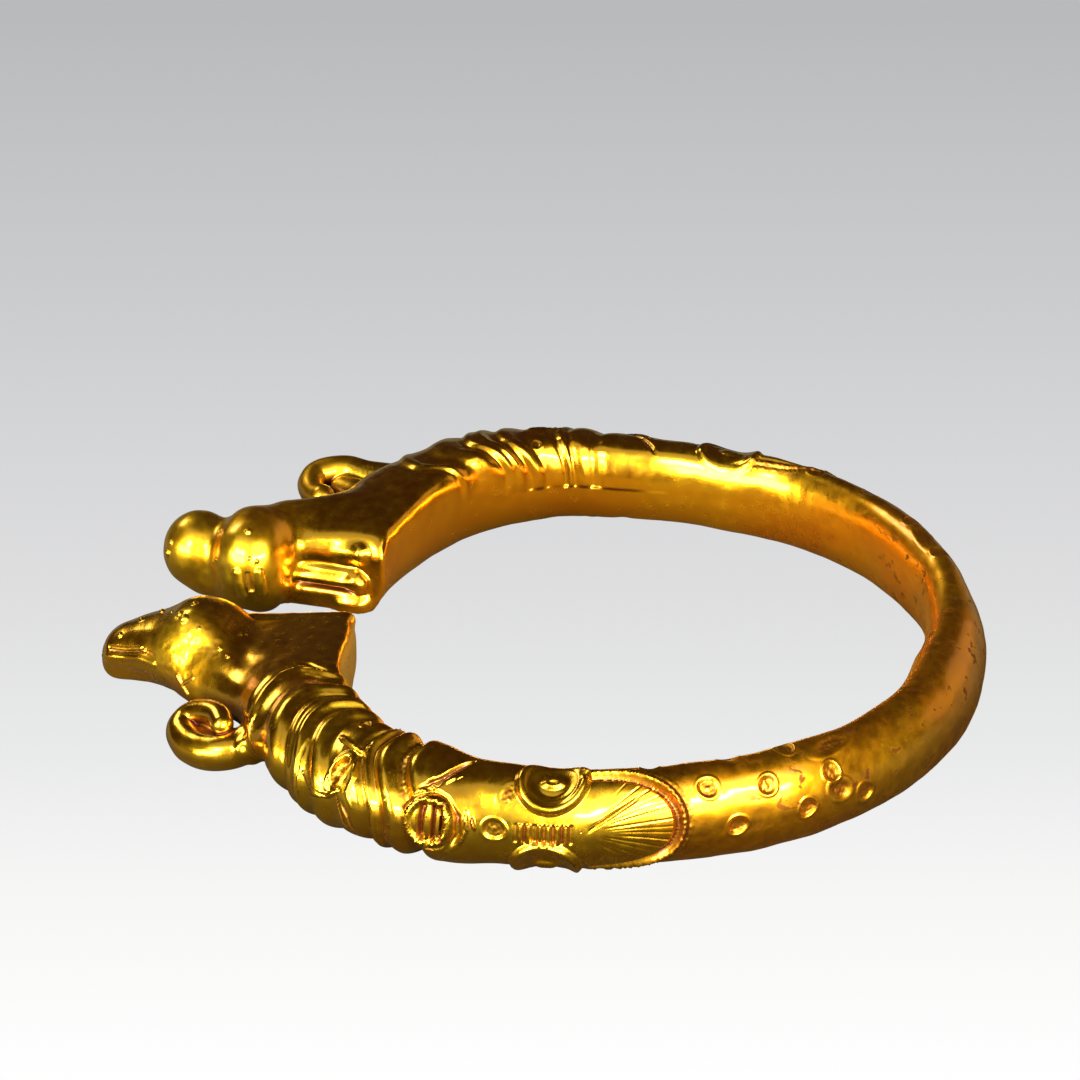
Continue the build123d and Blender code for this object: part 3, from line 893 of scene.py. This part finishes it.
def add_piece(name, verts, faces, normals, tones):
    verts = np.clip(verts, BOX_LOW + BOX_CLEAR, BOX_HIGH - BOX_CLEAR)
    mesh = bpy.data.meshes.new(name)
    mesh.from_pydata((verts * MM).tolist(), [], [tuple(f) for f in faces.tolist()])
    for key, values in tones.items():
        layer = mesh.attributes.new(key, "FLOAT", "POINT")
        layer.data.foreach_set("value", values.astype(np.float32))
    mesh.polygons.foreach_set("use_smooth", np.ones(len(mesh.polygons), bool))
    mesh.update()
    mesh.validate()
    if len(mesh.vertices) == len(normals):
        mesh.normals_split_custom_set_from_vertices(normals.tolist())
    piece = show(name, mesh)
    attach(piece, "root")
    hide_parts("bracelet")
    return piece


HOLLOW_PROBES = (0.25, 0.6, 1.2)  # heights over the surface at which a hollow still shows
RIDGE_PROBE = 0.3
STEEPNESS = (0.7, 1.6)


def tones_of(surface, p, n, g, soil_and_shade):
    """Hollow and sharp measures at points p of a surface with normals n and gradients g."""
    gain = np.clip(length(g), *STEEPNESS)
    hollow = np.zeros(len(p))
    for reach in HOLLOW_PROBES:
        hollow += np.clip(1 - surface(p + n * reach) / (reach * gain), 0, 1)
    sharp = np.clip(1 + surface(p - n * RIDGE_PROBE) / (RIDGE_PROBE * gain), 0, 1)
    return {"hollow": hollow / len(HOLLOW_PROBES), "ridge": sharp, "soil_and_shade": soil_and_shade}


LATTICE = 0.165
LEFT_COARSER = 1.15
END_LOW, END_HIGH = np.array([0.6, -49.6, -0.35]), np.array([35.5, -13.0, 10.6])
NEAR_SURFACE = 1.3
SEAM_SINK, SEAM_OVERLAP = 0.05, 0.8  # the ends run on under the hoop's grid
FLOOR_CLEAR = 0.02
NORMAL_REACH = 0.03
HEAD_CUT = -33.5  # where the head's piece ends
CHEEK_MATTE = (6.0, 2.0)  # distances from the cheek's middle over which it turns matt
MUZZLE_MATTE = (-33.0, -37.0, 0.8)  # left head: from, to, share


def build_end(right):
    """Head with its horn, and neck: two pieces on one lattice, cut along lattice lines."""
    step = LATTICE if right else LATTICE * LEFT_COARSER

    def finished(p):
        return end_surface(p, right)

    def solid(p):
        """The end, level underneath and closed just past the seam."""
        angle = np.arctan2(p[:, 0], -p[:, 1]) / RAD
        past = (angle - SEAM) * RAD * np.hypot(p[:, 0], p[:, 1])
        value = finished(p) + SEAM_SINK * step_up(0.0, 0.2, past)
        return np.maximum(np.maximum(value, past - SEAM_OVERLAP), -p[:, 2])

    shape = tuple(np.ceil((END_HIGH - END_LOW) / step).astype(int) + 1)
    axes = [END_LOW[i] + step * np.arange(shape[i]) for i in range(3)]
    grid = np.stack(np.meshgrid(*axes, indexing="ij"), axis=-1).reshape(-1, 3)
    first = np.maximum(plain_end(grid, right)[0], -grid[:, 2])
    close = np.nonzero(np.abs(first) < NEAR_SURFACE)[0]
    values = np.where(first > 0, 1.0, -1.0)
    values[close] = solid(grid[close])
    verts, faces = surface_net(values.reshape(shape), END_LOW, step, shape)
    for _ in range(2):
        verts = pull(solid, verts, step)
    verts[:, 2] = np.maximum(verts[:, 2], FLOOR_CLEAR)
    g = gradient(finished, verts, NORMAL_REACH)
    normals = unit(g)
    normals[verts[:, 2] < FLOOR_CLEAR + 0.015] = (0, 0, -1)
    total, fld = plain_end(verts, right)
    tones = tones_of(finished, verts, normals, g, relief(fld)[1] * ornament_share(total, fld))
    if right:
        off = (verts - np.array(CHEEK)) * np.array([0.8, 1, 1])
        tones["matte"] = step_up(*CHEEK_MATTE, length(off))
    else:
        start, full, share = MUZZLE_MATTE
        tones["matte"] = share * step_up(start, full, verts[:, 1])
        verts = verts * MIRROR
        normals = normals * MIRROR
        faces = faces[:, ::-1]
    front = verts[faces].mean(axis=1)[:, 1] < HEAD_CUT
    side = "right" if right else "left"
    pieces = []
    for label, pick in (("head", front), ("neck", ~front)):
        used, small = np.unique(faces[pick], return_inverse=True)
        own = {key: value[used] for key, value in tones.items()}
        pieces.append(add_piece(side + "_" + label, verts[used], small.reshape(-1, 4), normals[used], own))
    return pieces


def build_hoop(name, start, end, rings, columns, fine):
    """Grid of the hoop between two angles, finer by this much outside and on top than within and below."""
    angles = start + (end - start) * np.linspace(0, 1, rings)
    share = np.linspace(0, 1, 400)
    lift = -180 + 360 * share
    density = 1 + (fine - 1) * step_up(-75, -55, lift) * step_up(150, 125, lift)
    run = np.concatenate([[0], np.cumsum((density[1:] + density[:-1]) / 2)])
    spots = np.interp(np.linspace(0, 1, columns, endpoint=False), run / run[-1], share)
    lifts = np.empty((rings, columns))
    for i, angle in enumerate(angles):
        arc = np.array([np.interp(angle, ROWS, ARC[:, j]) for j in range(len(LIFTS))])
        lifts[i] = np.interp(arc[0] + spots * (arc[-1] - arc[0]), arc, LIFTS)
    angle = np.repeat(angles[:, None], columns, axis=1)
    q, w = outline_points(angle, lifts)
    crest, _, _, half = section(angle)
    r, z = crest + q, half + w
    p = np.stack([r * np.sin(angle * RAD), -r * np.cos(angle * RAD), z], axis=-1).reshape(-1, 3)
    for _ in range(4):
        p = pull(hoop_surface, p, 0.3)
    g = gradient(hoop_surface, p, NORMAL_REACH)
    normals = unit(g)
    tones = tones_of(hoop_surface, p, normals, g, relief(Field(p))[1])
    p[:, 2] = np.maximum(p[:, 2], FLOOR_CLEAR)
    index = np.arange(rings * columns).reshape(rings, columns)
    after = np.roll(index, -1, axis=1)
    faces = np.stack([index[:-1], index[1:], after[1:], after[:-1]], axis=-1).reshape(-1, 4)
    return add_piece(name, p, faces, normals, tones)


class Shader:
    """A material and the wiring of its nodes."""

    def __init__(self, name):
        self.material = bpy.data.materials.new(name)
        self.material.use_nodes = True
        self.tree = self.material.node_tree
        self.tree.nodes.clear()

    def finish(self, surface):
        self.add("OutputMaterial", {"Surface": surface})
        return self.material

    def add(self, kind, inputs=(), **settings):
        """Node with inputs by name or number, each a value or another node's output."""
        node = self.tree.nodes.new("ShaderNode" + kind)
        for key, value in settings.items():
            setattr(node, key, value)
        for key, value in dict(inputs).items():
            if isinstance(value, bpy.types.NodeSocket):
                self.tree.links.new(value, node.inputs[key])
            else:
                node.inputs[key].default_value = value
        return node

    def math(self, operation, a, b=0.0, clamp=False):
        return self.add("Math", {0: a, 1: b}, operation=operation, use_clamp=clamp).outputs[0]

    def times(self, a, b, clamp=False):
        return self.math("MULTIPLY", a, b, clamp)

    def plus(self, a, b, clamp=False):
        return self.math("ADD", a, b, clamp)

    def noise(self, coords, scale, detail=4.0, rough=0.55, distortion=0.0):
        shape = {"Scale": scale, "Detail": detail, "Roughness": rough, "Distortion": distortion}
        return self.add("TexNoise", {"Vector": coords, **shape}).outputs["Fac"]

    def range(self, value, low, high, out_low=0.0, out_high=1.0):
        limits = {"From Min": low, "From Max": high, "To Min": out_low, "To Max": out_high}
        return self.add("MapRange", {"Value": value, **limits}).outputs["Result"]

    def mix(self, share, a, b):
        return self.add("Mix", {0: share, 6: a, 7: b}, data_type="RGBA").outputs[2]

    def ramp(self, value, stops):
        node = self.add("ValToRGB", {"Fac": value})
        marks = node.color_ramp.elements
        for mark, (position, colour) in ((marks[0], stops[0]), (marks[1], stops[-1])):
            mark.position = position
            mark.color = colour
        for position, colour in stops[1:-1]:
            marks.new(position).color = colour
        return node.outputs["Color"]

    def attribute(self, name):
        return self.add("Attribute", attribute_name=name).outputs["Fac"]

    def stretched(self, coords, scale, rotation=(0, 0, 0)):
        """Coordinates scaled and turned."""
        return self.add("Mapping", {"Vector": coords, "Scale": scale, "Rotation": rotation}).outputs[0]


RED_GOLD = (0.8, 0.325, 0.006, 1)
OLIVE_GOLD = (0.83, 0.475, 0.012, 1)
WORN_GOLD = (0.92, 0.56, 0.06, 1)
# Browns of patina and painted shade in recesses
RECESS_PATINA_SHADE = (0.33, 0.125, 0.01, 1)
DEEP_PATINA_SHADE = (0.16, 0.035, 0.008, 1)
# Dark brown of dirt and painted shade on the rough ground
GRIME_SHADE_BROWN = (0.2, 0.058, 0.008, 1)
STAIN_BROWN = (0.11, 0.024, 0.008, 1)
BACK_FROM, BACK_TO = 0.002, 0.024  # Y between which the duller back sets in, in metres
STAINS_FROM = 0.012
STAIN_SCALE = (520.0, 360.0, 700.0)
SCRATCH_SCALE, SCRATCH_TURN = (300.0, 2600.0, 1500.0), (0.3, 0.5, 0.9)
COAT, COAT_ROUGHNESS = 0.5, 0.13
PLAIN_ROUGHNESS = (0.18, 0.28)
BUMP_STRENGTH, BUMP_HEIGHT = 0.35, 0.00005


def gold_material():
    s = Shader("old_gold")
    coords = s.add("TexCoord").outputs["Object"]
    hollow, sharp, soil_and_shade, matte = (s.attribute(name) for name in ("hollow", "ridge", "soil_and_shade", "matte"))
    y = s.add("SeparateXYZ", {0: coords}).outputs["Y"]
    back = s.range(y, BACK_FROM, BACK_TO)
    broad = s.noise(coords, 90.0, 3.0)
    fine = s.noise(coords, 900.0, 4.0)
    olive = s.math("SUBTRACT", s.range(broad, 0.25, 0.6), s.times(back, 0.7), True)
    gold = s.mix(olive, RED_GOLD, OLIVE_GOLD)
    worn = s.range(s.plus(sharp, s.times(fine, 0.2)), 0.55, 1.0)
    gold = s.mix(s.times(worn, 0.55, True), gold, WORN_GOLD)
    # Patina and painted shade: enclosed spots turn brown, and the deepest hollows turn darkest
    recess_patina_shade = s.range(s.plus(hollow, s.times(fine, 0.12)), 0.3, 0.62)
    gold = s.mix(recess_patina_shade, gold, RECESS_PATINA_SHADE)
    gold = s.mix(s.range(hollow, 0.48, 0.8), gold, DEEP_PATINA_SHADE)
    # Dirt and painted shade: the rough ground of punches, slits, hollows and slats turns dark brown
    grime_and_shade = s.times(soil_and_shade, s.range(fine, 0.3, 0.65, 0.55, 0.95), True)
    gold = s.mix(grime_and_shade, gold, GRIME_SHADE_BROWN)
    # Red-brown stains on the plain back
    blot = s.noise(s.stretched(coords, STAIN_SCALE), 1.0, 3.0, 0.6, 0.2)
    speck = s.noise(coords, 1100.0, 3.0, 0.6)
    stain = s.times(s.range(blot, 0.6, 0.65), s.range(y, STAINS_FROM, BACK_TO), True)
    dots = s.times(s.range(speck, 0.66, 0.74), s.range(broad, 0.42, 0.6), True)
    marks = s.math("MAXIMUM", s.times(stain, 0.85), s.times(dots, 0.65))
    gold = s.mix(marks, gold, STAIN_BROWN)
    clean = s.math("SUBTRACT", 1.0, s.math("MAXIMUM", marks, grime_and_shade), True)
    rough = s.range(fine, 0.3, 0.7, *PLAIN_ROUGHNESS)
    for share, more in ((back, 0.13), (recess_patina_shade, 0.22), (grime_and_shade, 0.16), (matte, 0.14), (marks, 0.28)):
        rough = s.plus(rough, s.times(share, more), True)
    # Fine scratches and grain
    scratch = s.noise(s.stretched(coords, SCRATCH_SCALE, SCRATCH_TURN), 1.0, 2.0)
    height = s.plus(s.times(scratch, 0.5), s.times(fine, 0.8))
    worked = s.add("Bump", {"Strength": BUMP_STRENGTH, "Distance": BUMP_HEIGHT, "Height": height})
    shader = s.add("BsdfPrincipled", {
        "Base Color": gold,
        "Metallic": 1.0,
        "Roughness": rough,
        "Coat Weight": s.times(clean, COAT),
        "Coat Roughness": COAT_ROUGHNESS,
        "Normal": worked.outputs["Normal"],
    })
    return s.finish(shader.outputs[0])


def look_from(azimuth, elevation):
    a, e = azimuth * RAD, elevation * RAD
    return np.array([math.sin(a) * math.cos(e), -math.cos(a) * math.cos(e), math.sin(e)])


def aim(thing, position, target):
    """Point a camera or light at a target."""
    thing.location = position
    thing.rotation_euler = (Vector(target) - Vector(position)).to_track_quat("-Z", "Y").to_euler()


def add_camera():
    data = bpy.data.cameras.new("camera")
    data.sensor_width = SENSOR
    data.lens = FOCAL / FRAME * SENSOR
    data.shift_x = (FRAME / 2 - TARGET_PIXEL[0]) / FRAME
    data.shift_y = (TARGET_PIXEL[1] - FRAME / 2) / FRAME
    data.clip_start, data.clip_end = 0.01, 20
    camera = show("camera", data)
    aim(camera, np.array(TARGET) + look_from(AZIMUTH, ELEVATION) * DISTANCE, TARGET)
    bpy.context.scene.camera = camera


def add_light(name, direction, distance, width, depth, power, colour=(1, 1, 1)):
    data = bpy.data.lights.new(name, "AREA")
    data.shape = "RECTANGLE"
    data.size, data.size_y = width, depth
    data.energy = power
    data.color = colour
    light = show(name, data)
    d = np.array(direction, float)
    aim(light, d / np.linalg.norm(d) * distance, (0, 0, 0))


FLOOR_HALF = 3  # in metres, as are the other sizes of the stage
FLOOR_NEAR, FLOOR_FAR = -0.07, 0.15  # where the floor's shading begins and ends, away from the front
# Colours of the floor's painted glow, from the front to the back
FLOOR_GLOW_TONES = [  # share of that way, colour
    (0.0, (1.0, 1.0, 1.0, 1)),
    (0.138, (0.93, 0.93, 0.92, 1)),
    (0.178, (0.896, 0.896, 0.894, 1)),
    (0.251, (0.823, 0.827, 0.827, 1)),
    (0.391, (0.737, 0.737, 0.745, 1)),
    (0.685, (0.597, 0.602, 0.615, 1)),
    (1.0, (0.485, 0.491, 0.503, 1)),
]
# Colours of the table that only reflections see: painted shade beside the hoop, a painted warm glow inside
# the ring
TABLE_SHADE_BESIDE = (0.035, 0.028, 0.016, 1)  # what the metal reflects beside the hoop
TABLE_OUTSIDE = (0.14, 0.135, 0.09, 1)
TABLE_GLOW_INSIDE = (0.3, 0.2, 0.045, 1)
OUTSIDE_RUN, INSIDE_RUN = (0.038, 0.062), (0.034, 0.02)
WORLD_COLOUR, WORLD_STRENGTH = (1.0, 0.48, 0.28, 1), 0.04
AMBER = (1.0, 0.72, 0.35)
LIGHTS = [  # name, direction, distance, width, depth, watts
    ("right_strip", (0.69, 0.56, 0.42), 0.55, 0.42, 0.06, 4.6),
    ("right_softbox", (0.76, 0.6, 0.24), 0.6, 0.5, 0.22, 2.4),
    ("overhead_softbox", (0.5, 0.5, 0.7), 0.58, 0.5, 0.24, 1.2),
    ("front_softbox", (-0.41, -0.69, 0.59), 0.55, 0.16, 0.16, 0.45),
    ("low_softbox", (0.82, -0.51, 0.27), 0.7, 0.42, 0.2, 4.5),
    ("cheek_softbox", (0.74, -0.34, 0.58), 0.6, 0.17, 0.17, 2.8),
    ("wide_front_fill", (0.9, 0.05, 0.42), 0.75, 1.1, 0.5, 0.8),
    ("wide_top_fill", (0.46, -0.18, 0.87), 0.85, 0.9, 0.6, 0.9),
    ("back_fill", (-0.72, 0.65, 0.25), 0.75, 0.6, 0.34, 0.4, AMBER),
]


def add_stage():
    corners = [(x * FLOOR_HALF, y * FLOOR_HALF, 0) for x, y in ((-1, -1), (1, -1), (1, 1), (-1, 1))]
    mesh = bpy.data.meshes.new("floor")
    mesh.from_pydata(corners, [], [(0, 1, 2, 3)])
    floor = show("floor", mesh)
    s = Shader("pale_floor")
    coords = s.add("TexCoord").outputs["Object"]
    dot = s.add("VectorMath", {0: coords, 1: tuple(-look_from(AZIMUTH, 0))}, operation="DOT_PRODUCT")
    way = s.range(dot.outputs["Value"], FLOOR_NEAR, FLOOR_FAR)
    # Camera rays see a glowing floor: painted light, white at the front and greyer towards the back
    painted_glow = s.add("Emission", {"Color": s.ramp(way, FLOOR_GLOW_TONES)})
    # Reflections and lighting see a darker copy of the table: painted shade darkest beside the hoop, a
    # painted warm reflection inside the ring
    reach = s.add("VectorMath", {0: coords}, operation="LENGTH").outputs["Value"]
    table = s.mix(s.range(reach, *OUTSIDE_RUN), TABLE_SHADE_BESIDE, TABLE_OUTSIDE)
    table = s.mix(s.range(reach, *INSIDE_RUN), table, TABLE_GLOW_INSIDE)
    soft = s.add("BsdfDiffuse", {"Color": table})
    seen = s.add("LightPath").outputs["Is Camera Ray"]
    share = s.add("MixShader", {0: seen, 1: soft.outputs[0], 2: painted_glow.outputs[0]})
    mesh.materials.append(s.finish(share.outputs[0]))


def add_world():
    world = bpy.data.worlds.new("studio")
    world.use_nodes = True
    background = world.node_tree.nodes["Background"]
    background.inputs["Color"].default_value = WORLD_COLOUR
    background.inputs["Strength"].default_value = WORLD_STRENGTH
    bpy.context.scene.world = world


add_camera()
add_world()
add_stage()
for row in LIGHTS:
    add_light(*row)
bpy.context.scene.view_settings.view_transform = "Standard"

HOOP_PARTS = [
    ("right_ornament", SEAM, BACK_SEAM, (430, 224, 3.0), (300, 110, 2.5)),
    ("left_ornament", -BACK_SEAM, -SEAM, (300, 150, 2), (160, 70, 2)),
    ("right_back", BACK_SEAM, 180.0, (300, 180, 2.5), (160, 80, 2)),
    ("left_back", -180.0, -BACK_SEAM, (180, 110, 1.5), (100, 60, 1)),
]
gold = gold_material()
made = build_end(True) + build_end(False)
for part, start, end, full, quick in HOOP_PARTS:
    made.append(build_hoop(part, start, end, *full))
for piece in made:
    piece.data.materials.append(gold)
